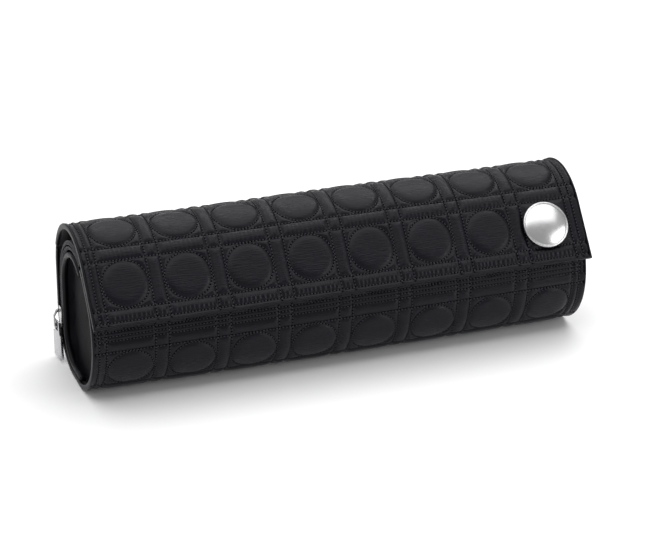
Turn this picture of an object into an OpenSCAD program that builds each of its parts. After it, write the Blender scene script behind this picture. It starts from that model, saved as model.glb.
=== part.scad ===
// Quilted roll case for a hair styler. Millimetres, +Z up, X along the length, the flap's edge and its button
// towards -Y. The origin is on the floor, below the middle of the roll.
//
// Every sheet bends round lines along X, so it is drawn as a section in Y and Z. A section is a chain of arcs,
// each [centre y, centre z, radius, first angle, last angle]; where two arcs share an angle, the straight line
// between them is tangent to both. Angles run from +Y (0) over the top (90).

/* [Case] */
// Length of the pouch between its open edges
case_l = 336; // [300:2:380]
// Length of the flap along its folded edge
flap_l = 339; // [303:2:383]
// Distance of the back face from the middle plane
back_y = 45.75; // [45:0.25:47]
// Radius of the front of the roll
roll_r = 45.75; // [45:0.25:46.5]
// Height of the front roll's centre
roll_z = 44.6; // [44.4:0.1:44.8]
// Radius of the flap over the top
top_r = 41.5; // [41:0.25:42]
// Height of the centre that the flap turns round
top_z = 66; // [65.5:0.25:67]
// Radius of the pouch under the flap
pouch_r = 38.5; // [38:0.25:38.75]
// Radius of the lower back edge
low_r = 36; // [35:0.5:37]
// Direction that the front of the flap faces
face_a = 141; // [140.5:0.25:141.5]
// Length of the flat front of the flap
flap_drop = 40; // [36:0.5:44]

/* [Sheets] */
// Thickness of the satin face
face_t = 1; // [0.8:0.1:1.1]
// Thickness of the wadding in the quilted sheets
wad_t = 2.2; // [2:0.1:2.4]
// Thickness of the heat-proof lining
lining_t = 0.8; // [0.6:0.1:0.9]
// Width of the binding along the flap's edges
binding_t = 0.8; // [0.6:0.1:1]

/* [Ends] */
// Distance of an end cap's face from the middle of the case
cap_x = 161.4; // [158:0.2:162]
// Thickness of an end cap
cap_t = 1.4; // [1:0.1:1.8]
// Thickness of the foam inside an end cap
foam_t = 3; // [2:0.5:4]
// Diameter of the piping round an end cap
piping_d = 3.8; // [3:0.1:3.9]

/* [Zip] */
// Depth of the coil's middle line below the pouch's outline
zip_in = 3.2; // [3:0.1:3.4]
// Width of one row of coil
coil_w = 1.3; // [1:0.1:1.4]
// Thickness of the coil
coil_t = 1.6; // [1.4:0.1:1.7]
// Length of the slider
slider_l = 15; // [13:0.5:15]
// Width of the slider
slider_w = 6.6; // [6:0.2:6.6]
// Height of the slider's middle when the zip is closed
slider_z = 30.8; // [30.5:0.1:31.5]
// Length of the pull tab below its eye
tab_l = 26; // [20:0.5:26]
// Width of the pull tab
tab_w = 12.6; // [10:0.2:13]
// Thickness of the pull tab
tab_t = 1.8; // [1.4:0.1:1.8]

/* [Button] */
// Diameter of the button over its rim
button_d = 31.4; // [28:0.2:32]
// Distance of the button from the middle of the case
button_x = 141.5; // [130:0.5:145]
// Distance of the button's middle from the flap's edge
button_up = 26.1; // [24:0.1:29]

/* [Hidden] */

satin = "#1b1a20";
satin_dark = "#121116";
wadding_white = "#d9d8d2";
lining_grey = "#3a3a40";
zip_black = "#222228";
silver = "#c9cacd";
steel = "#8f9296";
board_grey = "#77756f";

// Depth of each layer's boundary below the outer face
wad_in = face_t;
lining_in = face_t + wad_t;
sheet_t = face_t + wad_t + lining_t;

half = case_l / 2;
flap_half = flap_l / 2 - binding_t;
drop = flap_drop - binding_t;

// The pouch under the flap is tangent to the same straight front as the roll
pouch_y = 1.5;
pouch_z = (roll_r + sin(face_a) * roll_z - pouch_r - cos(face_a) * pouch_y) / sin(face_a);
pouch_back = pouch_y + pouch_r;
top_y = back_y - top_r;

// Hinge seams: the lid turns on the lower back edge, the flap on the upper back edge
low_seam_a = -41;
top_seam_a = 45;
seam_gap_a = 0.4;

// Places of the zip along the pouch's front edge, as angles round the pouch's centre
front_zip_a = 118;
panel_end_a = 124;
pouch_top_a = 112;
front_gap_a = 0.22;

// Sections
function turn(c, r, a) = [c.x + r * cos(a), c.y + r * sin(a)];
function arc_steps(arc) = max(1, ceil(abs(arc[4] - arc[3]) / 3));
function section(chain, inset) = [
    for (arc = chain)
        let (steps = arc_steps(arc))
        for (i = [0 : steps])
            let (p = turn(arc, arc[2] - inset, arc[3] + (arc[4] - arc[3]) * i / steps))
            [p.x, max(p.y, inset)]
];
function reversed(points) = [for (i = [len(points) - 1 : -1 : 0]) points[i]];

front_chain = [
    [back_y - low_r, low_r, low_r, low_seam_a - seam_gap_a, -90],
    [0, roll_z, roll_r, -102, face_a - 360],
    [pouch_y, pouch_z, pouch_r, face_a - 360, panel_end_a - 360]
];
back_chain = [
    [back_y - low_r, low_r, low_r, low_seam_a + seam_gap_a, 0],
    [top_y, top_z, top_r, 0, top_seam_a - seam_gap_a]
];
flap_start = [top_y, top_z, top_r, top_seam_a + seam_gap_a, face_a];
function flap_end(length) = [
    top_y - length * sin(face_a), top_z + length * cos(face_a), top_r, face_a, face_a
];
flap_chain = [flap_start, flap_end(drop)];
pouch_top_chain = [[pouch_y, pouch_z, pouch_r, pouch_top_a, 0]];

// Outline of the pouch's end, used with a different inset for each piece round it
end_r = 31;
end_chain = [
    [0, roll_z, roll_r, -102, face_a - 360],
    [pouch_y, pouch_z, pouch_r, face_a - 360, -360],
    [pouch_back - end_r, end_r, end_r, -360, -450]
];

// Places along X of the pieces at each end
tape_x = 166.9;
tape_t = 0.6;
coil_x = 166.6;
coil_low_x = tape_x + tape_t;
piping_x = 167.2;
piping_in = 9.2;
wall_in = 9.9;
zip_gap = 1.8;
zip_low_z = 28;
zip_top_a = 116;

// Slider and pull
slide_y = pouch_back - zip_in;
plate_t = 0.7;
low_plate_x = 165.2;
top_plate_x = 168.8;
bridge_w = 2;
pull_x = 171.6;
pull_z = 27.4;
tab_twist = 7;
tab_lean = 1;
eye_r = tab_t / 2;

// Draws a section in Y and Z and carries it along X from x0 to x1
module along_x(x0, x1) {
    translate([x0, 0, 0]) rotate([90, 0, 90]) linear_extrude(height = x1 - x0) children();
}

module layer(chain, inset, depth, half_length) {
    along_x(-half_length, half_length)
        polygon(concat(section(chain, inset), reversed(section(chain, inset + depth))));
}

// Moves to the button's place on the flap, +Z out of its face
module at_button() {
    mid = flap_end(flap_drop - button_up);
    translate([button_x, mid[0] + top_r * cos(face_a), mid[1] + top_r * sin(face_a)])
        rotate([face_a - 90, 0, 0]) children();
}

module disc(d, low, high) {
    translate([0, 0, low]) cylinder(d = d, h = high - low, $fn = 64);
}

module left_end() {
    mirror([1, 0, 0]) children();
}

module end_region(inset) {
    polygon(section(end_chain, inset));
}

// Part of the end's plane beside the zip: above its lower stop and behind its front corner
module zip_reach(low_z) {
    centre = [pouch_y, pouch_z];
    reach = 80;
    polygon([
        [centre.x, low_z], [reach, low_z], [reach, reach + pouch_z],
        turn(centre, reach, zip_top_a), centre
    ]);
}

// Front panel: one quilted sheet from the lower back seam, under the case and up the front
module front_panel_face() {
    color(satin) layer(front_chain, 0, face_t, half);
}

module front_panel_wadding() {
    color(wadding_white) difference() {
        layer(front_chain, wad_in, wad_t, half);
        at_button() disc(plate_d + plate_room, plate_low - plate_room / 2, plate_low + plate_h + plate_room / 2);
    }
}

module front_panel_lining() {
    color(lining_grey) layer(front_chain, lining_in, lining_t, half);
}

// Stiffener that lies on the lining and keeps the bottom flat
board_w = 28;
board_t = 1.6;
board_z = 5.8;
module base_board() {
    color(board_grey)
        translate([-half + 18, -board_w / 2, board_z]) cube([case_l - 36, board_w, board_t]);
}

// End caps: a recessed satin panel with a short wall that carries the piping
module end_cap_right() {
    front_reach = 45;
    floor_reach = 12;
    color(satin_dark) {
        along_x(cap_x - cap_t, cap_x) union() {
            end_region(wall_in);
            intersection() {
                end_region(sheet_t + 0.05);
                union() {
                    translate([-60, 0]) square([60 - 15, 2 * front_reach]);
                    translate([-60, 0]) square([60 + floor_reach, floor_reach]);
                }
            }
        }
        along_x(cap_x, piping_x - piping_d / 2) difference() {
            end_region(wall_in);
            end_region(wall_in + cap_t);
        }
    }
}

module end_cap_left() {
    left_end() end_cap_right();
}

module end_foam_right() {
    color(wadding_white)
        along_x(cap_x - cap_t - foam_t, cap_x - cap_t) end_region(wall_in + 1);
}

module end_foam_left() {
    left_end() end_foam_right();
}

// Piping: a covered cord down the back of the end cap and along its lower edge
piping_low = 6.1;
module piping_right() {
    back_r = pouch_r - piping_in;
    low_turn_r = end_r - piping_in;
    low_y = pouch_back - end_r;
    low_z = piping_low + low_turn_r;
    front_y = -8;
    color(satin_dark) translate([piping_x, 0, 0]) rotate([90, 0, 90]) {
        translate([pouch_y, pouch_z, 0])
            rotate_extrude(angle = panel_end_a, $fn = 96)
                translate([back_r, 0]) circle(d = piping_d, $fn = 24);
        translate([pouch_y + back_r, low_z, 0])
            rotate([-90, 0, 0]) cylinder(d = piping_d, h = pouch_z - low_z, $fn = 24);
        translate([low_y, low_z, 0]) rotate([0, 0, -90])
            rotate_extrude(angle = 90, $fn = 96)
                translate([low_turn_r, 0]) circle(d = piping_d, $fn = 24);
        translate([front_y, piping_low, 0])
            rotate([0, 90, 0]) cylinder(d = piping_d, h = low_y - front_y, $fn = 24);
    }
}

module piping_left() {
    left_end() piping_right();
}

// Zip: the inner row belongs to the pouch, the outer row to the lid
module end_zip_inner(x, thickness, width, low_z) {
    along_x(x, x + thickness) intersection() {
        difference() {
            end_region(zip_in + zip_gap / 2);
            end_region(zip_in + zip_gap / 2 + width);
        }
        zip_reach(low_z);
    }
}

module end_zip_outer(x, thickness, width) {
    along_x(x, x + thickness) intersection() {
        difference() {
            end_region(zip_in - zip_gap / 2 - width);
            end_region(zip_in - zip_gap / 2);
        }
        zip_reach(zip_low_z);
    }
}

module both_ends() {
    children();
    left_end() children();
}

front_tape_in = 1.4;
front_coil_in = -0.1;
front_reach_x = 164;
module zip_tape_tray() {
    low_z = 20;
    inner_w = 1.8;
    color(zip_black) {
        both_ends() end_zip_inner(tape_x, tape_t, inner_w, low_z);
        layer(
            [[pouch_y, pouch_z, pouch_r, panel_end_a, front_zip_a + front_gap_a]],
            front_tape_in, tape_t, front_reach_x
        );
    }
}

coil_a = 1.9;
module zip_coil_tray() {
    color(zip_black) {
        both_ends() end_zip_inner(coil_low_x, coil_x + coil_t - coil_low_x, coil_w, zip_low_z);
        layer(
            [[pouch_y, pouch_z, pouch_r, front_zip_a + front_gap_a + coil_a, front_zip_a + front_gap_a]],
            front_coil_in, front_tape_in - front_coil_in, front_reach_x
        );
    }
}

stop_size = [1.8, 2.4, 2.4];
module zip_stop_right() {
    color(silver)
        translate([tape_x - stop_size.x / 2 + tape_t / 2, slide_y - 4.6, slider_z - slider_l / 2 - 3])
            difference() {
                cube(stop_size);
                translate([stop_size.x / 2 - tape_t / 2, -1, -1])
                    cube([tape_t, stop_size.y + 2, stop_size.z + 2]);
            }
}

module zip_stop_left() {
    left_end() zip_stop_right();
}

// Concealed steel plate that the flap's magnet holds to, inside the front panel
plate_d = 18;
plate_room = 0.4;
plate_h = 1;
flap_gap = top_r + sin(face_a) * top_z + cos(face_a) * top_y - sheet_t
    - roll_r - sin(face_a) * roll_z;
plate_low = -sheet_t - flap_gap - face_t - (wad_t + plate_h) / 2;
module snap_plate() {
    color(steel) at_button() disc(plate_d, plate_low, plate_low + plate_h);
}

// Lid: the quilted back sheet and the satin top of the pouch
module back_panel_face() {
    color(satin) layer(back_chain, 0, face_t, half);
}

module back_panel_wadding() {
    color(wadding_white) layer(back_chain, wad_in, wad_t, half);
}

module back_panel_lining() {
    color(lining_grey) layer(back_chain, lining_in, lining_t, half);
}

pouch_top_t = 1.4;
pouch_top_half = 166.7;
module pouch_top() {
    skirt_z = pouch_z - 8;
    skirt_half = 164;
    color(satin_dark) {
        layer(pouch_top_chain, 0, pouch_top_t, pouch_top_half);
        along_x(-skirt_half, skirt_half)
            translate([pouch_back - pouch_top_t, skirt_z])
                square([back_y - sheet_t - pouch_back + pouch_top_t, pouch_z - skirt_z]);
    }
}

module zip_tape_lid() {
    outer_w = zip_in - zip_gap / 2;
    back_region = concat(section(back_chain, sheet_t), [[0, pouch_z]]);
    color(zip_black) {
        both_ends() end_zip_outer(tape_x, tape_t, outer_w);
        both_ends() along_x(tape_x, tape_x + tape_t) difference() {
            intersection() {
                polygon(back_region);
                translate([0, zip_low_z]) square([back_y, pouch_z - zip_low_z]);
            }
            end_region(0);
        }
        layer(
            [[pouch_y, pouch_z, pouch_r, front_zip_a - front_gap_a, pouch_top_a]],
            front_tape_in, tape_t, front_reach_x
        );
    }
}

module zip_coil_lid() {
    color(zip_black) {
        both_ends() end_zip_outer(coil_low_x, coil_x + coil_t - coil_low_x, coil_w);
        layer(
            [[pouch_y, pouch_z, pouch_r, front_zip_a - front_gap_a, front_zip_a - front_gap_a - coil_a]],
            front_coil_in, front_tape_in - front_coil_in, front_reach_x
        );
    }
}

// Flap: face, wadding and lining, bound along three edges
rivet_d = 5;
washer_d = 14;
washer_t = 0.5;
washer_low = -2.1;
magnet_h = 1;
module flap_face() {
    color(satin) difference() {
        layer(flap_chain, 0, face_t, flap_half);
        at_button() disc(rivet_d, -2 * face_t, face_t);
    }
}

module flap_wadding() {
    color(wadding_white) difference() {
        layer(flap_chain, wad_in, wad_t, flap_half);
        at_button() disc(plate_d + plate_room, -lining_in - 1, -face_t + 1);
    }
}

module flap_lining() {
    color(lining_grey) layer(flap_chain, lining_in, lining_t, flap_half);
}

module flap_edge() {
    along_x(flap_half, flap_half + binding_t)
        polygon(concat(section(flap_chain, 0), reversed(section(flap_chain, sheet_t))));
}

module flap_binding_right() {
    color(satin_dark) flap_edge();
}

module flap_binding_left() {
    color(satin_dark) left_end() flap_edge();
}

module flap_hem() {
    color(satin_dark)
        layer([flap_end(drop), flap_end(flap_drop)], 0, sheet_t, flap_half + binding_t);
}

// Magnet sewn behind the button, inside the flap
module snap_magnet() {
    color(steel) at_button() disc(plate_d, -lining_in, -lining_in + magnet_h);
}

// Button: a domed cap held in a rolled rim, riveted to a washer inside the flap
rim_w = 1.6;
rim_h = 2.6;
dome_rise = 2.6;
dome_t = 0.9;
dome_low = 1;
module button_rim() {
    inner_r = button_d / 2 - rim_w;
    color(silver) at_button() rotate_extrude($fn = 96) {
        translate([inner_r, 0]) square([rim_w, rim_h - rim_w / 2]);
        translate([inner_r + rim_w / 2, rim_h - rim_w / 2]) circle(d = rim_w, $fn = 32);
    }
}

module button_dome() {
    r = button_d / 2 - rim_w;
    ball = (r * r + dome_rise * dome_rise) / (2 * dome_rise);
    top = dome_low + dome_t + dome_rise;
    color(silver) at_button() difference() {
        intersection() {
            translate([0, 0, top - ball]) sphere(r = ball, $fn = 96);
            disc(2 * r, dome_low, top + 1);
        }
        translate([0, 0, top - ball - dome_t]) intersection() {
            sphere(r = ball, $fn = 96);
            translate([0, 0, ball - dome_rise]) disc(2 * r - 1, 0, 2 * dome_rise);
        }
    }
}

module button_rivet() {
    color(steel) at_button() union() {
        disc(rivet_d, washer_low + washer_t, 0);
        disc(2 * rivet_d, 0, dome_low);
    }
}

module button_washer() {
    color(steel) at_button() disc(washer_d, washer_low, washer_low + washer_t);
}

// Slider: two plates joined by a thin web between the two rows of coil, with a bridge for the pull
module slider_plate() {
    corner = 1.6;
    shoulder = 4.4;
    tail_r = 1.9;
    body_w = slider_w - 2 * corner;
    low = -slider_l / 2;
    union() {
        translate([-slider_w / 2, low + shoulder]) square([slider_w, slider_l - shoulder - corner]);
        translate([-body_w / 2, low + shoulder]) square([body_w, slider_l - shoulder]);
        for (y = [-1, 1])
            translate([y * (slider_w / 2 - corner), slider_l / 2 - corner]) circle(r = corner, $fn = 32);
        translate([-tail_r, low + tail_r]) square([2 * tail_r, shoulder]);
        translate([0, low + tail_r]) circle(r = tail_r, $fn = 32);
    }
}

module slider_body() {
    web_t = 0.5;
    web_l = 3.4;
    color(silver) left_end() {
        along_x(low_plate_x, low_plate_x + plate_t) translate([slide_y, slider_z]) slider_plate();
        along_x(top_plate_x, top_plate_x + plate_t) translate([slide_y, slider_z]) slider_plate();
        translate([low_plate_x, slide_y - web_t / 2, slider_z - slider_l / 2 + 0.6])
            cube([top_plate_x - low_plate_x + plate_t, web_t, web_l]);
    }
}

module slider_bridge() {
    foot_x = top_plate_x + plate_t;
    low_z = 23.8;
    high_z = 36.4;
    outer_x = 174;
    bar = 1;
    color(silver) left_end()
        translate([0, slide_y + bridge_w / 2, 0]) rotate([90, 0, 0]) linear_extrude(height = bridge_w)
            difference() {
                polygon([
                    [foot_x, low_z], [outer_x - 1, low_z], [outer_x, low_z + 1],
                    [outer_x, high_z - 4], [outer_x - 2, high_z], [foot_x, high_z]
                ]);
                polygon([
                    [foot_x, low_z + bar + 0.6], [outer_x - bar, low_z + bar + 0.6],
                    [outer_x - bar, high_z - 4.4], [outer_x - bar - 1.4, high_z - bar - 0.8],
                    [foot_x, high_z - bar - 0.8]
                ]);
            }
}

// Pull tab: hangs from the bridge by its eye, turned a little on its neck
module pull_tab() {
    neck_w = 8;
    shoulder = 8;
    corner = 2;
    eye_w = 4.4;
    eye_l = 4.8;
    color(silver) translate([-pull_x, slide_y, pull_z]) rotate([0, 0, tab_twist]) rotate([0, -tab_lean, 0])
        union() {
            rotate([90, 0, 90]) translate([0, 0, -tab_t / 2]) linear_extrude(height = tab_t) difference() {
                union() {
                    translate([-neck_w / 2, -shoulder]) square([neck_w, shoulder]);
                    translate([-tab_w / 2, -tab_l + corner]) square([tab_w, tab_l - shoulder - corner]);
                    translate([-tab_w / 2 + corner, -tab_l]) square([tab_w - 2 * corner, tab_l - shoulder + 1.5]);
                    for (side = [-1, 1])
                        translate([side * (tab_w / 2 - corner), -tab_l + corner]) circle(r = corner, $fn = 32);
                }
                translate([-eye_w / 2, -eye_l - eye_r]) square([eye_w, eye_l]);
            }
            rotate([90, 0, 0]) translate([0, 0, -neck_w / 2]) cylinder(r = eye_r, h = neck_w, $fn = 32);
        }
}

front_panel_face();
front_panel_wadding();
front_panel_lining();
base_board();
end_cap_left();
end_cap_right();
end_foam_left();
end_foam_right();
piping_left();
piping_right();
zip_tape_tray();
zip_coil_tray();
zip_stop_left();
zip_stop_right();
snap_plate();
back_panel_face();
back_panel_wadding();
back_panel_lining();
pouch_top();
zip_tape_lid();
zip_coil_lid();
flap_face();
flap_wadding();
flap_lining();
flap_binding_left();
flap_binding_right();
flap_hem();
snap_magnet();
button_dome();
button_rim();
button_rivet();
button_washer();
slider_body();
slider_bridge();
pull_tab();
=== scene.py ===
import math

import bmesh
import bpy
import numpy as np
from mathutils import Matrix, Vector


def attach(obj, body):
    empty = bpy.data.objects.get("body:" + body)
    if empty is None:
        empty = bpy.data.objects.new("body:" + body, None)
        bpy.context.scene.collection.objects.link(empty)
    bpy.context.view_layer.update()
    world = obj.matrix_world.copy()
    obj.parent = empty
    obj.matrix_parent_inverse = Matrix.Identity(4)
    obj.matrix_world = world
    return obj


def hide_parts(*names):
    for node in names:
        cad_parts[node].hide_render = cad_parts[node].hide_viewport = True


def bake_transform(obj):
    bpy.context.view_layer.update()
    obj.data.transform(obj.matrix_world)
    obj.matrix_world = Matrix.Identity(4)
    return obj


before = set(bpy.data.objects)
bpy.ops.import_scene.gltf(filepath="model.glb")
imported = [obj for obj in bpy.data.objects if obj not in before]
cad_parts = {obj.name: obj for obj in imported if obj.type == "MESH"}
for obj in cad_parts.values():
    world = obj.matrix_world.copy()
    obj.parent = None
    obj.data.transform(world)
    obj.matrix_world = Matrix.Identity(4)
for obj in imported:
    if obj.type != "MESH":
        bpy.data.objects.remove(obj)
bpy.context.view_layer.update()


# ------------------------------------------------------------------------------
# Camera: a long lens in front of the case's left end, a little above it,
# as the case stands on a table.
link = bpy.context.scene.collection.objects.link
eye = Vector((-0.5405, -1.5402, 0.7946))
aim = Vector((0, -0.0012, 0.0515))
lens = bpy.data.cameras.new("camera")
lens.sensor_width = 36
lens.lens = 151.4
camera = bpy.data.objects.new("camera", lens)
camera.location = eye
camera.rotation_euler = (aim - eye).to_track_quat("-Z", "Y").to_euler()
link(camera)
bpy.context.scene.camera = camera


# ------------------------------------------------------------------------------
# The rolled sheet: quilted panels go round the whole case. Their section is a chain of arcs in Y and Z,
# each (centre y, centre z, radius, first angle, last angle). A straight line joins each to the next.
MM = 0.001
FACE_TURN = 141
FLAP_DROP = 40 * MM
ROLL = (0, 44.6 * MM, 45.75 * MM)
TOP = (4.25 * MM, 66 * MM, 41.5 * MM)
LOW = (9.75 * MM, 36 * MM, 36 * MM)
POUCH = (1.5 * MM, 57.97 * MM, 38.5 * MM)
SEAM_TURN = 20.2

flap_chain = [
    (TOP[0] - FLAP_DROP * math.sin(math.radians(FACE_TURN)),
     TOP[1] + FLAP_DROP * math.cos(math.radians(FACE_TURN)), TOP[2], FACE_TURN, FACE_TURN),
    (*TOP, FACE_TURN, SEAM_TURN),
]
body_chain = [
    (*TOP, SEAM_TURN, 0),
    (*LOW, 0, -90),
    (*ROLL, -102.9, FACE_TURN - 360),
    (*POUCH, FACE_TURN - 360, -236),
]


def section(chain, step=1.0):
    """Arc length, points and normals along a chain, every step degrees."""
    points, normals = [], []
    for cy, cz, radius, first, last in chain:
        count = int(abs(last - first) / step) + 2
        for turn in np.radians(np.linspace(first, last, count)):
            normal = np.array([math.cos(turn), math.sin(turn)])
            point = np.array([cy, cz]) + radius * normal
            point[1] = max(point[1], 0)
            if not points or np.linalg.norm(point - points[-1]) > 1e-7:
                points.append(point)
                normals.append(normal)
    points, normals = np.array(points), np.array(normals)
    steps = np.linalg.norm(np.diff(points, axis=0), axis=1)
    return np.concatenate([[0], np.cumsum(steps)]), points, normals


def on_section(path, x, s, height):
    """Points at x along the case and s along the section, raised by height from its outer line."""
    along, points, normals = path
    s = np.asarray(s, float)
    y, z = np.interp(s, along, points[:, 0]), np.interp(s, along, points[:, 1])
    ny, nz = np.interp(s, along, normals[:, 0]), np.interp(s, along, normals[:, 1])
    size = np.hypot(ny, nz)
    out = np.stack([np.broadcast_to(x, y.shape), y + height * ny / size, z + height * nz / size], -1)
    out[..., 2] = np.maximum(out[..., 2], 0.0001)
    return out


def build(name, points, faces, smooth=True):
    mesh = bpy.data.meshes.new(name)
    mesh.from_pydata([tuple(map(float, p)) for p in points], [], faces)
    mesh.validate()
    piece = bpy.data.objects.new(name, mesh)
    link(piece)
    shape = bmesh.new()
    shape.from_mesh(mesh)
    bmesh.ops.recalc_face_normals(shape, faces=shape.faces)
    shape.to_mesh(mesh)
    shape.free()
    if smooth:
        mesh.shade_smooth()
    else:
        mesh.shade_flat()
    return piece


def swept(name, rings):
    """A tube through rings of points, with a cap at each end."""
    rings = np.asarray(rings, float)
    count, size = rings.shape[:2]
    faces = []
    for i in range(count - 1):
        for k in range(size):
            m = (k + 1) % size
            faces.append((i * size + k, i * size + m, (i + 1) * size + m, (i + 1) * size + k))
    faces.append(tuple(range(size)))
    faces.append(tuple(range(count * size - 1, (count - 1) * size - 1, -1)))
    return build(name, rings.reshape(-1, 3), faces)


flap_section = section(flap_chain)
body_section = section(body_chain)


# ------------------------------------------------------------------------------
# Satin and its relations: black polyester with long floats along the case, so it has a soft streaky gloss.
# The plain satin, the thread, the lining and the zip's tapes use the same fibres at other scales.
def socket(tree, name, kind, out=False, value=None):
    way = "OUTPUT" if out else "INPUT"
    made = tree.interface.new_socket(name, in_out=way, socket_type="NodeSocket" + kind)
    if value is not None:
        made.default_value = value


def fibre_group():
    """Fine fibres: streaks along U, threads across, and slow clouds. Puts out a shade and a height."""
    tree = bpy.data.node_groups.new("fibres", "ShaderNodeTree")
    socket(tree, "Place", "Vector")
    socket(tree, "Streak", "Float", value=400.0)
    socket(tree, "Thread", "Float", value=2600.0)
    socket(tree, "Cloud", "Float", value=40.0)
    socket(tree, "Shade", "Float", out=True)
    socket(tree, "Relief", "Float", out=True)
    n, l = tree.nodes, tree.links
    enter, leave = n.new("NodeGroupInput"), n.new("NodeGroupOutput")
    scale = n.new("ShaderNodeCombineXYZ")
    l.new(enter.outputs["Streak"], scale.inputs[0])
    l.new(enter.outputs["Thread"], scale.inputs[1])
    l.new(enter.outputs["Thread"], scale.inputs[2])
    stretch = n.new("ShaderNodeVectorMath")
    stretch.operation = "MULTIPLY"
    l.new(enter.outputs["Place"], stretch.inputs[0])
    l.new(scale.outputs[0], stretch.inputs[1])
    streaks = n.new("ShaderNodeTexNoise")
    streaks.inputs["Scale"].default_value = 1
    streaks.inputs["Detail"].default_value = 3
    l.new(stretch.outputs[0], streaks.inputs["Vector"])
    clouds = n.new("ShaderNodeTexNoise")
    clouds.inputs["Detail"].default_value = 2
    l.new(enter.outputs["Place"], clouds.inputs["Vector"])
    l.new(enter.outputs["Cloud"], clouds.inputs["Scale"])
    mix = n.new("ShaderNodeMath")
    mix.operation = "MULTIPLY_ADD"
    mix.inputs[1].default_value = 0.55
    half = n.new("ShaderNodeMath")
    half.operation = "MULTIPLY"
    half.inputs[1].default_value = 0.45
    l.new(clouds.outputs["Fac"], half.inputs[0])
    l.new(streaks.outputs["Fac"], mix.inputs[0])
    l.new(half.outputs[0], mix.inputs[2])
    l.new(mix.outputs[0], leave.inputs["Shade"])
    l.new(streaks.outputs["Fac"], leave.inputs["Relief"])
    return tree


FIBRES = fibre_group()


def ramp(tree, source, low, high):
    """Maps a 0 to 1 value to a colour or number between low and high."""
    n, l = tree.nodes, tree.links
    if isinstance(low, tuple):
        node = n.new("ShaderNodeMix")
        node.data_type = "RGBA"
        node.inputs["A"].default_value = (*low, 1)
        node.inputs["B"].default_value = (*high, 1)
        l.new(source, node.inputs["Factor"])
        return node.outputs["Result"]
    node = n.new("ShaderNodeMapRange")
    node.inputs["From Min"].default_value = 0.3
    node.inputs["From Max"].default_value = 0.7
    node.inputs["To Min"].default_value = low
    node.inputs["To Max"].default_value = high
    l.new(source, node.inputs["Value"])
    return node.outputs["Result"]


def cloth_material(name, dark, light, rough, relief, sheen=0.0, streak=400.0, thread=2600.0, uv=True,
                   specular=0.5):
    """Cloth from the fibres group. dark and light are its shades, rough its roughness at each."""
    made = bpy.data.materials.new(name)
    made.use_nodes = True
    tree = made.node_tree
    n, l = tree.nodes, tree.links
    surface = n["Principled BSDF"]
    place = n.new("ShaderNodeTexCoord")
    fibres = n.new("ShaderNodeGroup")
    fibres.node_tree = FIBRES
    fibres.inputs["Streak"].default_value = streak
    fibres.inputs["Thread"].default_value = thread
    l.new(place.outputs["UV" if uv else "Object"], fibres.inputs["Place"])
    l.new(ramp(tree, fibres.outputs["Shade"], dark, light), surface.inputs["Base Color"])
    l.new(ramp(tree, fibres.outputs["Shade"], *rough), surface.inputs["Roughness"])
    bump = n.new("ShaderNodeBump")
    bump.inputs["Strength"].default_value = relief
    bump.inputs["Distance"].default_value = 0.0003
    l.new(fibres.outputs["Relief"], bump.inputs["Height"])
    l.new(bump.outputs[0], surface.inputs["Normal"])
    surface.inputs["Sheen Weight"].default_value = sheen
    surface.inputs["Sheen Roughness"].default_value = 0.4
    surface.inputs["Sheen Tint"].default_value = (0.85, 0.82, 1, 1)
    surface.inputs["Specular IOR Level"].default_value = specular
    return made


SATIN = cloth_material("satin", (0.0001, 0.0001, 0.0003), (0.0062, 0.0054, 0.0105), (0.4, 0.22), 0.9,
                       sheen=0.01, streak=120.0, thread=1400.0, specular=0.16)
PLAIN_SATIN = cloth_material("plain_satin", (0.0014, 0.0013, 0.0024), (0.0065, 0.006, 0.0088),
                             (0.48, 0.36), 0.2, sheen=0.01, streak=200.0, thread=1500.0, uv=False,
                             specular=0.14)
# Black thread: its colour is set lighter than the satin as a painted highlight on each stitch; it is also a
# little glossier.
THREAD_HIGHLIT = cloth_material("thread", (0.016, 0.0155, 0.021), (0.042, 0.041, 0.05), (0.4, 0.3), 0.3,
                        streak=3000.0, thread=3000.0, uv=False, specular=0.3)
# Needle holes: dull near-black beads of painted shade, standing for the shade inside each stitch hole.
PAINTED_HOLE_SHADE = cloth_material("painted_hole_shade", (0.0003, 0.0003, 0.0003), (0.0008, 0.0008, 0.0008),
                             (1.0, 0.9), 0.1, uv=False, specular=0.02)


def wear(piece, material):
    piece.data.materials.clear()
    piece.data.materials.append(material)


# ------------------------------------------------------------------------------
# Quilting: eight columns of round cushions, each stitched in a square. Pairs of seams leave puffed ribs
# between the columns and channels between the rows. The satin is eased in, so it rises between stitches.
COLUMNS = 8
COLUMN_STEP = 41 * MM
SQUARE = 32 * MM
DISC = 15.3 * MM
STITCH = 2.2 * MM
EASE = 0.035
SEAM_DEPTH = 1.7 * MM
SIM_SHARE = 0.4
PAD_HALF = 168.7 * MM
TOP_STITCH_X = 164.3 * MM
PAD_DEPTH = 3.3 * MM
PRESSURE = 10
SWELL = 1.75 * MM
EDGE_ROLL = 1.5 * MM
CLOTH_STEP = 1.33 * MM
LOOSE_HOLD = 0.4
RING_HOLD = 0.45

CIRCLE_STITCHES = round(2 * math.pi * DISC / STITCH)
columns = [(i - (COLUMNS - 1) / 2) * COLUMN_STEP for i in range(COLUMNS)]
column_seams = sorted([c + side * SQUARE / 2 for c in columns for side in (-1, 1)])
column_seams = [-TOP_STITCH_X] + column_seams + [TOP_STITCH_X]


def graded(stops, step):
    """Values from the first stop to the last, evenly spaced between stops and exactly on each."""
    out = [stops[0]]
    for a, b in zip(stops, stops[1:]):
        count = max(2, round((b - a) / step))
        out += list(np.linspace(a, b, count + 1)[1:])
    return np.array(out)


def grid_faces(index):
    """One square for each cell of a grid of vertex numbers."""
    return np.stack([index[:-1, :-1], index[1:, :-1], index[1:, 1:], index[:-1, 1:]], -1).reshape(-1, 4)


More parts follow.
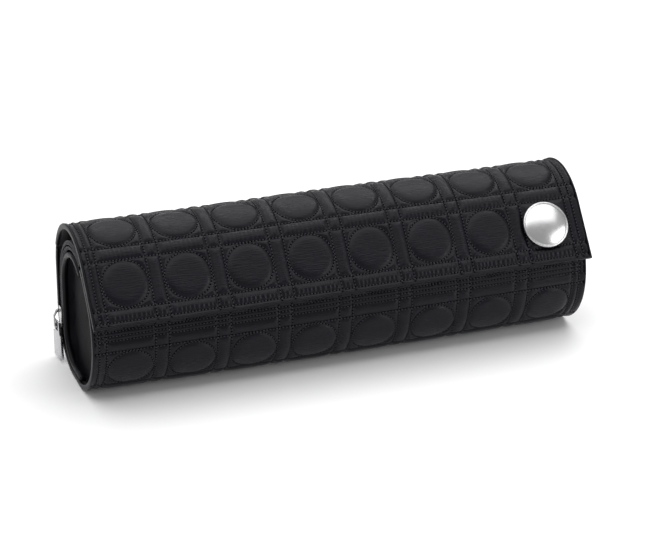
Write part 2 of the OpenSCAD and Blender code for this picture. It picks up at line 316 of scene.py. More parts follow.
def quilt_cloth(xs, ss, rows, row_seams, skip):
    """Flat satin held at its stitches and eased in, then raised. Returns its flat points and height."""
    x, s = np.meshgrid(xs, ss, indexing="ij")
    flat = np.stack([x, s], -1)
    hole = np.zeros(x.shape)
    for seam in column_seams:
        column = int(np.argmin(abs(xs - seam)))
        hole[column] = np.maximum(hole[column], np.where(np.arange(len(ss)) % 2 == 0, 1, LOOSE_HOLD))
    for seam in row_seams:
        row = int(np.argmin(abs(ss - seam)))
        hole[:, row] = np.maximum(hole[:, row], np.where(np.arange(len(xs)) % 2 == 0, 1, LOOSE_HOLD))
    for r, row in enumerate(rows):
        for c, column in enumerate(columns):
            if (r, c) in skip:
                continue
            dx, ds = flat[..., 0] - column, flat[..., 1] - row
            reach = np.maximum(np.hypot(dx, ds), 1e-6)
            ring = abs(reach - DISC) < CLOTH_STEP * 0.55
            turn = np.arctan2(ds, dx)
            near = abs((turn * CIRCLE_STITCHES / (4 * math.pi) + 0.5) % 1 - 0.5) < 0.25
            flat[ring] = np.stack([column + dx * DISC / reach, row + ds * DISC / reach], -1)[ring]
            hole[ring] = np.maximum(hole[ring], np.where(near, 1, RING_HOLD)[ring])
    edge = np.zeros(x.shape, bool)
    edge[[0, -1]] = edge[:, [0, -1]] = True
    hole[edge] = 1
    scale = 10
    count = x.size
    index = np.arange(count).reshape(x.shape)
    faces = grid_faces(index)
    mesh = bpy.data.meshes.new("cloth")
    start = np.concatenate([flat, np.zeros((*x.shape, 1))], -1).reshape(-1, 3) * scale
    mesh.from_pydata(start.tolist(), [], faces.tolist())
    cloth = bpy.data.objects.new("cloth", mesh)
    link(cloth)
    held = cloth.vertex_groups.new(name="stitches")
    for weight in (LOOSE_HOLD, RING_HOLD, 1.0):
        held.add([int(i) for i in np.nonzero(hole.ravel() == weight)[0]], weight, "REPLACE")
    modifier = cloth.modifiers.new("Cloth", "CLOTH")
    settings = modifier.settings
    settings.vertex_group_mass = "stitches"
    settings.quality = 5
    settings.mass = 0.3
    settings.tension_stiffness = settings.compression_stiffness = 15
    settings.shear_stiffness = 5
    settings.bending_stiffness = 0.05
    settings.shrink_min = -EASE
    settings.use_pressure = True
    settings.uniform_pressure_force = PRESSURE
    settings.effector_weights.gravity = 0
    modifier.collision_settings.use_collision = False
    frames = 18
    modifier.point_cache.frame_start = 1
    modifier.point_cache.frame_end = frames
    for moment in range(1, frames + 1):
        bpy.context.scene.frame_set(moment)
    settled = cloth.evaluated_get(bpy.context.evaluated_depsgraph_get())
    out = np.zeros(count * 3)
    settled.data.vertices.foreach_get("co", out)
    out = out.reshape(*x.shape, 3) / scale
    bpy.data.objects.remove(cloth)
    bpy.context.scene.frame_set(1)
    return out[..., :2], np.clip(out[..., 2], -0.6 * MM, 4.2 * MM)


def finer(values):
    """Puts a value halfway between each two neighbours, both ways."""
    for axis in (0, 1):
        values = np.moveaxis(values, axis, 0)
        out = np.zeros((2 * len(values) - 1, *values.shape[1:]))
        out[::2] = values
        out[1::2] = (values[:-1] + values[1:]) / 2
        values = np.moveaxis(out, 0, axis)
    return values


def finer_line(values):
    return np.interp(np.arange(0, len(values) - 0.9, 0.5), np.arange(len(values)), values)


def smoothed(values):
    for axis in (0, 1):
        values = np.moveaxis(values, axis, 0).copy()
        values[1:-1] = (values[:-2] + 2 * values[1:-1] + values[2:]) / 4
        values = np.moveaxis(values, 0, axis)
    return values


def puffed(flat, rows, row_seams, skip):
    """The wadding's own rise between seams, and the gathers that every stitch pulls into the satin."""
    x, s = flat[..., 0], flat[..., 1]
    gap, place = np.full(x.shape, 9.0), np.zeros(x.shape)
    routes = [(abs(x - seam), s) for seam in column_seams] + [(abs(s - seam), x) for seam in row_seams]
    for r, row in enumerate(rows):
        for c, column in enumerate(columns):
            if (r, c) not in skip:
                turn = np.arctan2(s - row, x - column)
                routes.append((abs(np.hypot(x - column, s - row) - DISC), turn * DISC))
    for distance, along in routes:
        nearer = distance < gap
        gap, place = np.where(nearer, distance, gap), np.where(nearer, along, place)
    rise = SWELL * (1 - np.exp(-gap / (1.7 * MM)))
    gather = 0.5 + 0.5 * np.cos(place * 2 * math.pi / STITCH)
    return rise - 0.45 * MM * gather * np.exp(-gap / (1.5 * MM))


def rolled_edge(xs, ss):
    """How far the cloth turns down towards its two ends and its first edge."""
    x, s = np.meshgrid(xs, ss, indexing="ij")
    gap = PAD_HALF - abs(x)
    gap = np.minimum(gap, s - ss[0])
    share = np.clip(1 - gap / EDGE_ROLL, 0, 1)
    return EDGE_ROLL * (1 - np.sqrt(1 - share ** 2))


def quilted_pad(name, path, xs, ss, flat, height):
    """Closes the raised satin with plain sides and a plain underside, and bends it all onto the section."""
    nx, ns = len(xs), len(ss)
    face = on_section(path, 0, flat[..., 1], height)
    face[..., 0] = flat[..., 0]
    left = on_section(path, xs[0], ss, -PAD_DEPTH)
    right = on_section(path, xs[-1], ss, -PAD_DEPTH)
    points = np.concatenate([face.reshape(-1, 3), left, right])
    index = np.arange(nx * ns).reshape(nx, ns)
    low, high = nx * ns + np.arange(ns), nx * ns + ns + np.arange(ns)
    faces = grid_faces(index).tolist()
    for k in range(ns - 1):
        faces.append((int(low[k]), int(low[k + 1]), int(high[k + 1]), int(high[k])))
        faces.append((int(low[k]), int(index[0, k]), int(index[0, k + 1]), int(low[k + 1])))
        faces.append((int(high[k + 1]), int(index[-1, k + 1]), int(index[-1, k]), int(high[k])))
    for k in (0, -1):
        faces.append([int(low[k])] + [int(i) for i in index[:, k]] + [int(high[k])])
    piece = build(name, points, faces)
    cloth_map = piece.data.uv_layers.new(name="cloth")
    place = np.concatenate([flat.reshape(-1, 2), np.stack([np.full(ns, xs[0]), ss], -1),
                            np.stack([np.full(ns, xs[-1]), ss], -1)])
    corner = np.zeros(len(piece.data.loops), int)
    piece.data.loops.foreach_get("vertex_index", corner)
    cloth_map.data.foreach_set("uv", place[corner].ravel())
    wear(piece, SATIN)
    return piece


# The flap's panel: two rows show on the flap and a third lies over its fold.
FLAP_ROWS = [27.6 * MM, 69.2 * MM, 110.2 * MM]
HEM_SEAM = 3.6 * MM
flap_length = flap_section[0][-1]
flap_row_seams = [HEM_SEAM] + sorted(r + side * SQUARE / 2 for r in FLAP_ROWS for side in (-1, 1))
BUTTON_CELL = (0, COLUMNS - 1)
FLAP_START = 0.5 * MM
column_stops = [-PAD_HALF] + column_seams + [PAD_HALF]
xs = graded(column_stops, CLOTH_STEP)
flap_ss = graded([FLAP_START] + flap_row_seams + [flap_length], CLOTH_STEP)
flap_flat, flap_rise = quilt_cloth(xs, flap_ss, FLAP_ROWS, flap_row_seams, {BUTTON_CELL})
fine_xs = finer_line(xs)
flap_flat, flap_rise, flap_ss = finer(flap_flat), finer(flap_rise), finer_line(flap_ss)
flap_height = SIM_SHARE * smoothed(flap_rise)
flap_height = flap_height + smoothed(puffed(flap_flat, FLAP_ROWS, flap_row_seams, {BUTTON_CELL}))
uneven = np.sin(flap_flat[..., 0] * 140) + np.sin(flap_flat[..., 0] * 310 + 2)
for middle, pleats, drop in (
        (7.6 * MM, 0.3 * MM, 0), ((FLAP_ROWS[0] + FLAP_ROWS[1]) / 2, 0.16 * MM, 0.2 * MM),
        ((FLAP_ROWS[1] + FLAP_ROWS[2]) / 2, 0.12 * MM, 0.9 * MM)):
    channel = np.exp(-((flap_flat[..., 1] - middle) / (3.4 * MM)) ** 4)
    gathers = np.sin(flap_flat[..., 0] * 2 * math.pi / (2.9 * MM) + uneven)
    flap_height += channel * (pleats * gathers - drop)
flap_height += 0.3 * MM * np.sin(flap_flat[..., 0] * 31 + 1) * np.sin(flap_flat[..., 1] * 23)
flap_height += -SEAM_DEPTH - rolled_edge(fine_xs, flap_ss)
flap_pad = quilted_pad("quilted_flap", flap_section, fine_xs, flap_ss, flap_flat, flap_height)
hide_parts("flap_face", "flap_wadding", "back_panel_wadding")

# The body's panel: down the back, under the case and up the front to the zip, below the flap.
LOW_ROW_TURN = -159.7
BELLY = 2.2 * MM
body_length = body_section[0][-1]
along, points, normals = body_section
turns = np.degrees(np.arctan2(normals[:, 1], normals[:, 0]))
front = [i for i in range(len(along)) if along[i] > 0.1 and turns[i] < 0]
low_row = along[min(front, key=lambda i: abs(turns[i] - LOW_ROW_TURN))] - 4.6 * MM
floor_middle = along[min(front, key=lambda i: abs(turns[i] + 96))]
BODY_ROWS = [23.5 * MM, 64.5 * MM, 105.5 * MM]
BODY_ROWS += [low_row, low_row + 46.5 * MM]
UNDER_FLAP = [low_row + 24.2 * MM, low_row + 27.4 * MM]
body_row_seams = sorted([r + side * SQUARE / 2 for r in BODY_ROWS for side in (-1, 1)] + UNDER_FLAP)
body_row_seams = [s for s in body_row_seams if 1.5 * MM < s < body_length - 1.5 * MM]
body_ss = graded([0] + body_row_seams + [body_length], CLOTH_STEP)
body_flat, body_rise = quilt_cloth(xs, body_ss, BODY_ROWS, body_row_seams, set())
body_flat, body_rise, body_ss = finer(body_flat), finer(body_rise), finer_line(body_ss)
body_height = SIM_SHARE * smoothed(body_rise)
body_height = body_height + smoothed(puffed(body_flat, BODY_ROWS, body_row_seams, set()))
hidden = np.clip((body_flat[..., 1] - low_row - 30.6 * MM) / (6 * MM), 0, 1)
floor_side = np.exp(-((body_flat[..., 1] - floor_middle) / (16 * MM)) ** 4)
body_height = body_height * (1 - 0.62 * hidden) - SEAM_DEPTH * (1 - 0.5 * floor_side)
body_height = body_height - rolled_edge(fine_xs, body_ss) * (body_ss > 6 * MM)
belly = np.maximum(np.cos(body_flat[..., 0] * math.pi / (2 * PAD_HALF)), 0) ** 0.6
body_height += BELLY * belly * np.exp(-((body_flat[..., 1] - low_row + 10 * MM) / (24 * MM)) ** 2)
body_pad = quilted_pad("quilted_body", body_section, fine_xs, body_ss, body_flat, body_height)
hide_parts("front_panel_face", "front_panel_wadding", "back_panel_face", "snap_plate")


# ------------------------------------------------------------------------------
# Stitches: black thread that dips into the satin at every hole; the thread's colour is set lighter than the
# satin as a painted highlight. The routes follow the settled cloth, each laid out as a line of edges. A
# node tree sets one bead of thread, or one near-black bead of painted shade for the shade in a needle hole,
# at every point.
def planted(tree, line, shape, turn, size, material, leave):
    """Sets one shape on every point of a line, turned and sized, and makes them plain in one material."""
    n, l = tree.nodes, tree.links
    place = n.new("GeometryNodeInstanceOnPoints")
    l.new(line.outputs[0], place.inputs["Points"])
    l.new(shape.outputs[0], place.inputs["Instance"])
    l.new(turn.outputs[0], place.inputs["Rotation"])
    l.new(size.outputs[0], place.inputs["Scale"])
    real = n.new("GeometryNodeRealizeInstances")
    finish = n.new("GeometryNodeSetMaterial")
    l.new(place.outputs[0], real.inputs[0])
    l.new(real.outputs[0], finish.inputs["Geometry"])
    l.new(material, finish.inputs["Material"])
    l.new(finish.outputs[0], leave.inputs[0])


def stitch_tree():
    """One bead at every point of a seam, lying along it: thread with a painted highlight, or painted shade
    for a needle hole.
    """
    tree = bpy.data.node_groups.new("stitches", "GeometryNodeTree")
    socket(tree, "Geometry", "Geometry")
    socket(tree, "Length", "Float", value=1.4 * MM)
    socket(tree, "Width", "Float", value=0.5 * MM)
    socket(tree, "Thread", "Material")
    socket(tree, "Geometry", "Geometry", out=True)
    n, l = tree.nodes, tree.links
    enter, leave = n.new("NodeGroupInput"), n.new("NodeGroupOutput")
    curve = n.new("GeometryNodeMeshToCurve")
    l.new(enter.outputs["Geometry"], curve.inputs[0])
    bead = n.new("GeometryNodeMeshUVSphere")
    bead.inputs["Segments"].default_value = 6
    bead.inputs["Rings"].default_value = 3
    bead.inputs["Radius"].default_value = 0.5
    size = n.new("ShaderNodeCombineXYZ")
    l.new(enter.outputs["Width"], size.inputs[0])
    l.new(enter.outputs["Width"], size.inputs[1])
    l.new(enter.outputs["Length"], size.inputs[2])
    tangent = n.new("GeometryNodeInputTangent")
    turn = n.new("FunctionNodeAlignRotationToVector")
    turn.axis = "Z"
    l.new(tangent.outputs[0], turn.inputs["Vector"])
    planted(tree, curve, bead, turn, size, enter.outputs["Thread"], leave)
    return tree


STITCHES = stitch_tree()
PROUD = 0.2 * MM


def grown(name, routes, tree, values):
    """Runs a node tree on routes, each a list of points, and keeps the result as a plain mesh."""
    points, edges = [], []
    for route in routes:
        edges += [(len(points) + i, len(points) + i + 1) for i in range(len(route) - 1)]
        points += [tuple(map(float, p)) for p in route]
    mesh = bpy.data.meshes.new(name + "_routes")
    mesh.from_pydata(points, edges, [])
    source = bpy.data.objects.new(name + "_routes", mesh)
    link(source)
    modifier = source.modifiers.new("grow", "NODES")
    modifier.node_group = tree
    ids = {item.name: item.identifier for item in tree.interface.items_tree if item.in_out == "INPUT"}
    for key, value in values.items():
        modifier[ids[key]] = value
    bpy.context.view_layer.update()
    shown = source.evaluated_get(bpy.context.evaluated_depsgraph_get())
    result = bpy.data.meshes.new_from_object(shown)
    result.name = name
    piece = bpy.data.objects.new(name, result)
    link(piece)
    bpy.data.objects.remove(source)
    result.shade_smooth()
    return piece


def lift_at(xs, ss, height, x, s):
    """Height of the settled cloth at x and s."""
    i = np.clip(np.searchsorted(xs, x) - 1, 0, len(xs) - 2)
    k = np.clip(np.searchsorted(ss, s) - 1, 0, len(ss) - 2)
    a = (x - xs[i]) / (xs[i + 1] - xs[i])
    b = (s - ss[k]) / (ss[k + 1] - ss[k])
    return ((1 - a) * (1 - b) * height[i, k] + a * (1 - b) * height[i + 1, k]
            + (1 - a) * b * height[i, k + 1] + a * b * height[i + 1, k + 1])


def seam_routes(path, ss, height, rows, row_seams, skip, shift):
    """One point for every stitch along every seam, moved along by shift stitches."""
    rim = 1.2 * MM
    routes = []

    def lay(x, s):
        out = on_section(path, 0, s, lift_at(fine_xs, ss, height, x, s) + PROUD)
        out[..., 0] = x
        routes.append(out)

    first = (math.ceil((ss[0] + rim) / STITCH) + shift) * STITCH
    s_line = np.arange(first, ss[-1] - rim, STITCH)
    for seam in column_seams:
        lay(np.full(len(s_line), seam), s_line)
    reach = math.floor((PAD_HALF - rim) / STITCH)
    x_line = (np.arange(-reach, reach) + shift) * STITCH
    for seam in row_seams:
        lay(x_line, np.full(len(x_line), seam))
    turn = (np.arange(CIRCLE_STITCHES + 1) + shift) * 2 * math.pi / CIRCLE_STITCHES
    for r, row in enumerate(rows):
        for c, column in enumerate(columns):
            if (r, c) in skip or row + DISC > ss[-1] or row - DISC < ss[0]:
                continue
            lay(column + DISC * np.cos(turn), row + DISC * np.sin(turn))
    return routes


def stitched(name, path, ss, height, rows, row_seams, skip):
    pieces = []
    for label, shift, length, width, material in (
            # Thread beads: colour set lighter than the satin, a painted highlight.
            ("_stitches", 0.5, 1.5 * MM, 0.7 * MM, THREAD_HIGHLIT),
            # Needle holes: near-black beads of painted shade.
            ("_painted_hole_shades", 0, 0.85 * MM, 0.95 * MM, PAINTED_HOLE_SHADE)):
        routes = seam_routes(path, ss, height, rows, row_seams, skip, shift)
        values = {"Length": length, "Width": width, "Thread": material}
        piece = grown(name + label, routes, STITCHES, values)
        pieces.append(piece)
    return pieces


flap_stitches = stitched("flap", flap_section, flap_ss, flap_height, FLAP_ROWS, flap_row_seams,
                         {BUTTON_CELL})
body_stitches = stitched("body", body_section, body_ss, body_height, BODY_ROWS, body_row_seams, set())
for piece in (flap_pad, *flap_stitches):
    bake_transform(piece)
for piece in (body_pad, *body_stitches):
    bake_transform(piece)


# ------------------------------------------------------------------------------
# Binding: narrow satin tape folded over the cut edges of the flap and of the body's panel. It is sewn
# down on both, and bends with them at the same two folds.
def bound_edge(name, path, route, inward, half_w, half_h, middle):
    """A flattened tube round an edge. route and inward are its points and directions in x and s."""
    rings = []
    around = np.linspace(0, 2 * math.pi, 13)[:-1]
    for (x, s), (qx, qs) in zip(route, inward):
        side = half_w * np.sign(np.cos(around)) * abs(np.cos(around)) ** 0.7
        lift = middle + half_h * np.sign(np.sin(around)) * abs(np.sin(around)) ** 0.7
        ring = on_section(path, 0, np.maximum(s + qs * side, 0.05 * MM), lift)
        ring[:, 0] = x + qx * side
        rings.append(ring)
    piece = swept(name, rings)
    wear(piece, PLAIN_SATIN)
    return piece


EDGE_STEP = 1.6 * MM
FLAP_HALF = 169.5 * MM
BODY_HALF = 169.1 * MM
tape_half = 0.75 * MM
edge_x = FLAP_HALF - tape_half
hem_s = tape_half + 0.1 * MM
up = np.arange(flap_length - 1 * MM, hem_s + 1 * MM, -EDGE_STEP)
across = np.arange(-edge_x + 1 * MM, edge_x - 1 * MM, EDGE_STEP)
route = [(-edge_x, s) for s in up] + [(-edge_x, hem_s)] + [(x, hem_s) for x in across]
route += [(edge_x, hem_s)] + [(edge_x, s) for s in up[::-1]]
inward = [(1, 0)] * len(up) + [(1, 1)] + [(0, 1)] * len(across) + [(-1, 1)] + [(-1, 0)] * len(up)
flap_binding = bound_edge("flap_binding", flap_section, route, inward, tape_half, 2.0 * MM, -2.1 * MM)
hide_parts("flap_binding_left", "flap_binding_right", "flap_hem")
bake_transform(flap_binding)
body_edge_x = BODY_HALF - tape_half
body_up = np.arange(0.4 * MM, body_length - 1 * MM, EDGE_STEP)
for side, label in ((-1, "left"), (1, "right")):
    piece = bound_edge("body_binding_" + label, body_section, [(side * body_edge_x, s) for s in body_up],
                       [(-side, 0)] * len(body_up), tape_half, 1.9 * MM, -2.1 * MM)
    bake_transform(piece)


# ------------------------------------------------------------------------------
# Lining: woven cloth on the inside of the whole rolled sheet. It is cut flat in two sheets and sewn in
# at the bound edges, so it is held stretched.
LINING = cloth_material("lining", (0.006, 0.006, 0.007), (0.014, 0.014, 0.016), (0.85, 0.7), 0.6,
                        sheen=0.05, streak=1500.0, thread=1500.0, specular=0.15)
LINING_T = 0.7 * MM
LINING_HALF = 166.4 * MM


def two_sided(name, shells, count, across):
    """Closes two grids of points, count by across, into one thin sheet."""
    index = np.arange(count * across).reshape(count, across)
    low = grid_faces(index)
    faces = low.tolist() + (low[:, ::-1] + count * across).tolist()
    rim = [int(i) for i in [*index[:, 0], *index[-1, 1:], *index[-2::-1, -1], *index[0, -2:0:-1]]]
    for a, b in zip(rim, rim[1:] + rim[:1]):
        faces.append((a, b, b + count * across, a + count * across))
    return build(name, np.concatenate(shells), faces)


def lining_sheet(name, path, first, last):
    ss = np.arange(first, last, 2.5 * MM)
    xs_in = np.linspace(-LINING_HALF, LINING_HALF, 60)
    x, s = np.meshgrid(xs_in, ss, indexing="ij")
    wave = 0.12 * MM * np.sin(x * 190 + 3 * np.sin(s * 90)) * np.sin(s * 140)
    shells = []
    for depth in (PAD_DEPTH + 0.05 * MM, PAD_DEPTH + 0.05 * MM + LINING_T):
        shell = on_section(path, 0, s, -depth - wave)
        shell[..., 0] = x
        shells.append(shell.reshape(-1, 3))
    piece = two_sided(name, shells, *x.shape)
    place = np.tile(np.stack([x, s], -1).reshape(-1, 2), (2, 1))
    corner = np.zeros(len(piece.data.loops), int)
    piece.data.loops.foreach_get("vertex_index", corner)
    piece.data.uv_layers.new(name="cloth").data.foreach_set("uv", place[corner].ravel())
    wear(piece, LINING)
    return piece


flap_lining = lining_sheet("flap_inside", flap_section, 1.5 * MM, flap_length)
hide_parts("flap_lining", "back_panel_lining")
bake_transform(flap_lining)
body_lining = lining_sheet("body_inside", body_section, 0, body_length - 1 * MM)
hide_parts("front_panel_lining")
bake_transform(body_lining)


# ------------------------------------------------------------------------------
# Ends: each is a satin gusset on foam, set back behind its piping and drawn in a little, with soft folds.
# It is sewn into the tray's end and stays with it.
END_TURN = 31 * MM
POUCH_BACK = POUCH[0] + POUCH[2]
end_chain = [
    (*ROLL, -102.9, FACE_TURN - 360),
    (*POUCH, FACE_TURN - 360, -360),
    (POUCH_BACK - END_TURN, END_TURN, END_TURN, -360, -450),
]
end_section = section(end_chain)
GUSSET_X = 165.4 * MM
GUSSET_DIP = 3.4 * MM
GUSSET_BACK = 157 * MM
GUSSET_SHARES = [0.22, 0.4, 0.55, 0.68, 0.78, 0.84, 0.89, 0.93, 0.96, 0.98, 0.992, 1]
GUSSET_SATIN = cloth_material("gusset_satin", (0.0012, 0.0011, 0.002), (0.007, 0.0066, 0.009),
                              (0.72, 0.58), 0.3, streak=180.0, thread=1300.0, uv=False, specular=0.06)


def smooth_step(value, middle, width):
    return 1 / (1 + np.exp(-(value - middle) / width))


def end_panel(side, label):
    along, points, normals = end_section
    s = np.linspace(0, along[-1], 221)[:-1]
    y, z = np.interp(s, along, points[:, 0]), np.interp(s, along, points[:, 1])
    ny, nz = np.interp(s, along, normals[:, 0]), np.interp(s, along, normals[:, 1])
    behind = smooth_step(y, -14 * MM, 3 * MM) * smooth_step(z, 7 * MM, 2 * MM)
    inset = 4.3 * MM + 5.2 * MM * behind
    rim = np.stack([y - inset * ny, np.maximum(z - inset * nz, 4.3 * MM)], -1)
    centre = rim.mean(0)
    turn = np.arctan2(rim[:, 1] - centre[1], rim[:, 0] - centre[0])
    corner_fold = np.exp(-((turn + 2.05) / 0.22) ** 2) + 0.7 * np.exp(-((turn - 2.5) / 0.3) ** 2)
    rings = []
    for share in GUSSET_SHARES:
        drawn = 1 - math.exp(-(1 - share) / 0.05)
        swell = 1.3 * MM * (1 - share) ** 0.8
        folds = 0.45 * MM * np.sin(turn * 13 + 5 * share) * math.exp(-((share - 0.88) / 0.1) ** 2)
        folds = folds + 1.2 * MM * corner_fold * math.exp(-((share - 0.86) / 0.08) ** 2)
        place = centre + (rim - centre) * share
        x = GUSSET_X - GUSSET_DIP * drawn + swell + folds
        rings.append(np.stack([side * x, place[:, 0], place[:, 1]], -1))
    for share in (1, 0.6, 0.22):
        place = centre + (rim - centre) * share
        rings.append(np.stack([np.full(len(turn), side * GUSSET_BACK), place[:, 0], place[:, 1]], -1))
    piece = swept("end_panel_" + label, rings)
    wear(piece, GUSSET_SATIN)
    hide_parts("end_cap_" + label, "end_foam_" + label)
    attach(piece, "tray")


for side, label in ((-1, "left"), (1, "right")):
    end_panel(side, label)


# ------------------------------------------------------------------------------
# Piping: satin sewn round a cord, along each gusset's edge. It goes over the top, down the back, round
# the lower corner and part of the way along the floor.
PIPING_X = 167.2 * MM
PIPING_R = 1.85 * MM
PIPING_IN = 9.2 * MM


def piping_route():
    back = POUCH[2] - PIPING_IN
    low = END_TURN - PIPING_IN
    middle_z = 6.1 * MM + low
    route = [(POUCH[0] + back * math.cos(t), POUCH[1] + back * math.sin(t))
             for t in np.radians(np.linspace(124, 0, 90))]
    route += [(POUCH[0] + back, z) for z in np.linspace(POUCH[1], middle_z, 22)[1:]]
    route += [(POUCH_BACK - END_TURN + low * math.cos(t), middle_z + low * math.sin(t))
              for t in np.radians(np.linspace(0, -90, 26)[1:])]
    route += [(y, 6.1 * MM) for y in np.linspace(POUCH_BACK - END_TURN, -8 * MM, 16)[1:]]
    return np.array(route)


def piping(side, label):
    route = piping_route()
    ahead = np.gradient(route, axis=0)
    ahead /= np.linalg.norm(ahead, axis=1)[:, None]
    around = np.linspace(0, 2 * math.pi, 15)[:-1]
    rings = []
    travelled = 0
    for i, ((y, z), (dy, dz)) in enumerate(zip(route, ahead)):
        if i:
            travelled += float(np.hypot(*(route[i] - route[i - 1])))
        uneven = 1 + 0.03 * math.sin(travelled / (4.1 * MM)) + 0.02 * math.sin(travelled / (1.3 * MM))
        radius = PIPING_R * uneven
        across = radius * np.cos(around)
        x = side * (PIPING_X + radius * np.sin(around))
        rings.append(np.stack([x, y + dz * across, z - dy * across], -1))
    piece = swept("piping_" + label + "_cord", rings)
    wear(piece, PLAIN_SATIN)
    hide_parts("piping_" + label)
    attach(piece, "tray")


for side, label in ((-1, "left"), (1, "right")):
    piping(side, label)


# ------------------------------------------------------------------------------
# Pouch top: the satin that closes the pouch under the flap. It is sewn to the zip at the front and
# runs down a little way inside the back.
POUCH_TOP_HALF = 166.4 * MM
TUCKED_HALF = 163.9 * MM
TUCK_STARTS = 78


def pouch_arc(first_turn, count):
    """Points on the pouch's arc with outward normals, from first_turn degrees down to its back."""
    turns = np.radians(np.linspace(first_turn, 0, count))
    return [(POUCH[0] + POUCH[2] * math.cos(t), POUCH[1] + POUCH[2] * math.sin(t),
             math.cos(t), math.sin(t)) for t in turns]


def pouch_cover():
    line = pouch_arc(112, 85)
    line += [(POUCH_BACK, z, 1, 0) for z in np.linspace(POUCH[1], 50 * MM, 7)[1:]]
    line = np.array(line)
    xs_in = np.linspace(-1, 1, 121)
    shells = []
    for depth in (0.05 * MM, 1.3 * MM):
        shell = []
        for u in xs_in:
            for k, (y, z, ny, nz) in enumerate(line):
                half = POUCH_TOP_HALF if k < TUCK_STARTS else TUCKED_HALF
                x = u * half
                ripple = math.sin(x * 61 + 2 * math.sin(k * 0.13)) * math.sin(k * 0.11)
                wave = 0.5 * MM * (0.5 + 0.5 * ripple)
                wave *= min(1, (1 - abs(u)) / 0.03) * min(1, k / 6)
                shell.append((x, y - (depth + wave) * ny, z - (depth + wave) * nz))
        shells.append(np.array(shell))
    return two_sided("pouch_cover", shells, len(xs_in), len(line))


cover = pouch_cover()
wear(cover, PLAIN_SATIN)
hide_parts("pouch_top")
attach(cover, "lid")


# ------------------------------------------------------------------------------
# Zip: two woven tapes with nylon coils. It runs along the pouch's front edge, under the flap, and down
# both ends to its lower stops.
TAPE = cloth_material("zip_tape", (0.006, 0.006, 0.007), (0.022, 0.022, 0.025), (0.8, 0.6), 0.9,
                      sheen=0.15, streak=1800.0, thread=1800.0, uv=False, specular=0.3)
ZIP_TOP_TURN = 116
TAPE_X = 166.9 * MM
COIL_RISE = 0.75 * MM
ZIP_FOOT = 28 * MM


def end_line(low):
    """The zip's line at an end: over the pouch's arc, then down the back. Points with outward normals."""
    line = pouch_arc(ZIP_TOP_TURN, 100)
    line += [(POUCH_BACK, z, 1, 0) for z in np.linspace(POUCH[1], 31 * MM, 24)[1:]]
    for t in np.radians(np.arange(-1.5, -90, -1.5)):
        y = POUCH_BACK - END_TURN + END_TURN * math.cos(t)
        z = END_TURN + END_TURN * math.sin(t)
        if z - 4 * MM * math.sin(t) < low:
            break
        line.append((y, z, math.cos(t), math.sin(t)))
    return np.array(line)


for node in ("zip_tape_tray", "zip_tape_lid"):
    wear(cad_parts[node], TAPE)


def coil_tree():
    """Nylon teeth: one small rounded tooth for each step along a line, lying across it."""
    tree = bpy.data.node_groups.new("coil_teeth", "GeometryNodeTree")
    socket(tree, "Geometry", "Geometry")
    socket(tree, "Pitch", "Float", value=1.5 * MM)
    socket(tree, "Reach", "Float", value=1.6 * MM)
    socket(tree, "Width", "Float", value=0.85 * MM)
    socket(tree, "Height", "Float", value=1.3 * MM)
    socket(tree, "Nylon", "Material")
    socket(tree, "Geometry", "Geometry", out=True)
    n, l = tree.nodes, tree.links
    enter, leave = n.new("NodeGroupInput"), n.new("NodeGroupOutput")
    curve = n.new("GeometryNodeMeshToCurve")
    spaced = n.new("GeometryNodeResampleCurve")
    spaced.mode = "LENGTH"
    l.new(enter.outputs["Geometry"], curve.inputs[0])
    l.new(curve.outputs[0], spaced.inputs["Curve"])
    l.new(enter.outputs["Pitch"], spaced.inputs["Length"])
    tooth = n.new("GeometryNodeMeshUVSphere")
    tooth.inputs["Segments"].default_value = 8
    tooth.inputs["Rings"].default_value = 5
    tooth.inputs["Radius"].default_value = 0.5
    size = n.new("ShaderNodeCombineXYZ")
    l.new(enter.outputs["Reach"], size.inputs[0])
    l.new(enter.outputs["Height"], size.inputs[1])
    l.new(enter.outputs["Width"], size.inputs[2])
    along = n.new("GeometryNodeInputTangent")
    turn = n.new("FunctionNodeAlignRotationToVector")
    turn.axis = "Z"
    l.new(along.outputs[0], turn.inputs["Vector"])
    out = n.new("ShaderNodeCombineXYZ")
    out.inputs[0].default_value = 1
    face = n.new("FunctionNodeAlignRotationToVector")
    face.axis = "Y"
    face.pivot_axis = "Z"
    l.new(turn.outputs[0], face.inputs["Rotation"])
    l.new(out.outputs[0], face.inputs["Vector"])
    planted(tree, spaced, tooth, face, size, enter.outputs["Nylon"], leave)
    return tree


# Black nylon teeth: their colour is set lighter as a painted highlight, so the teeth show in the shade
# under the flap.
NYLON_HIGHLIT = cloth_material("nylon_coil_highlit", (0.03, 0.03, 0.034), (0.055, 0.055, 0.06), (0.36, 0.26), 0.1,
                       streak=900.0, thread=900.0, uv=False, specular=0.5)
COIL_TEETH = coil_tree()


def coil_row(name, body, inset, low, front_turn, node):
    """Teeth down both ends, inset from the zip's line, and along the front at front_turn degrees."""
    routes = []
    for side in (-1, 1):
        line = end_line(low)
        line = line[line[:, 1] >= low]
        x = side * (TAPE_X + COIL_RISE)
        routes.append([(x, y - inset * ny, z - inset * nz) for y, z, ny, nz in line])
    turn = math.radians(front_turn)
    radius = POUCH[2] - 0.15 * MM
    routes.append([(x, POUCH[0] + radius * math.cos(turn), POUCH[1] + radius * math.sin(turn))
                   for x in np.arange(-163 * MM, 163.1 * MM, 2 * MM)])
    piece = grown(name, routes, COIL_TEETH, {
        "Pitch": 1.5 * MM, "Reach": 1.6 * MM, "Width": 0.85 * MM, "Height": 1.3 * MM, "Nylon": NYLON_HIGHLIT})
    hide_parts(node)
    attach(piece, body)


coil_row("coil_lid", "lid", 1.95 * MM, ZIP_FOOT, 116.6, "zip_coil_lid")
coil_row("coil_tray", "tray", 4.4 * MM, ZIP_FOOT, 119.4, "zip_coil_tray")


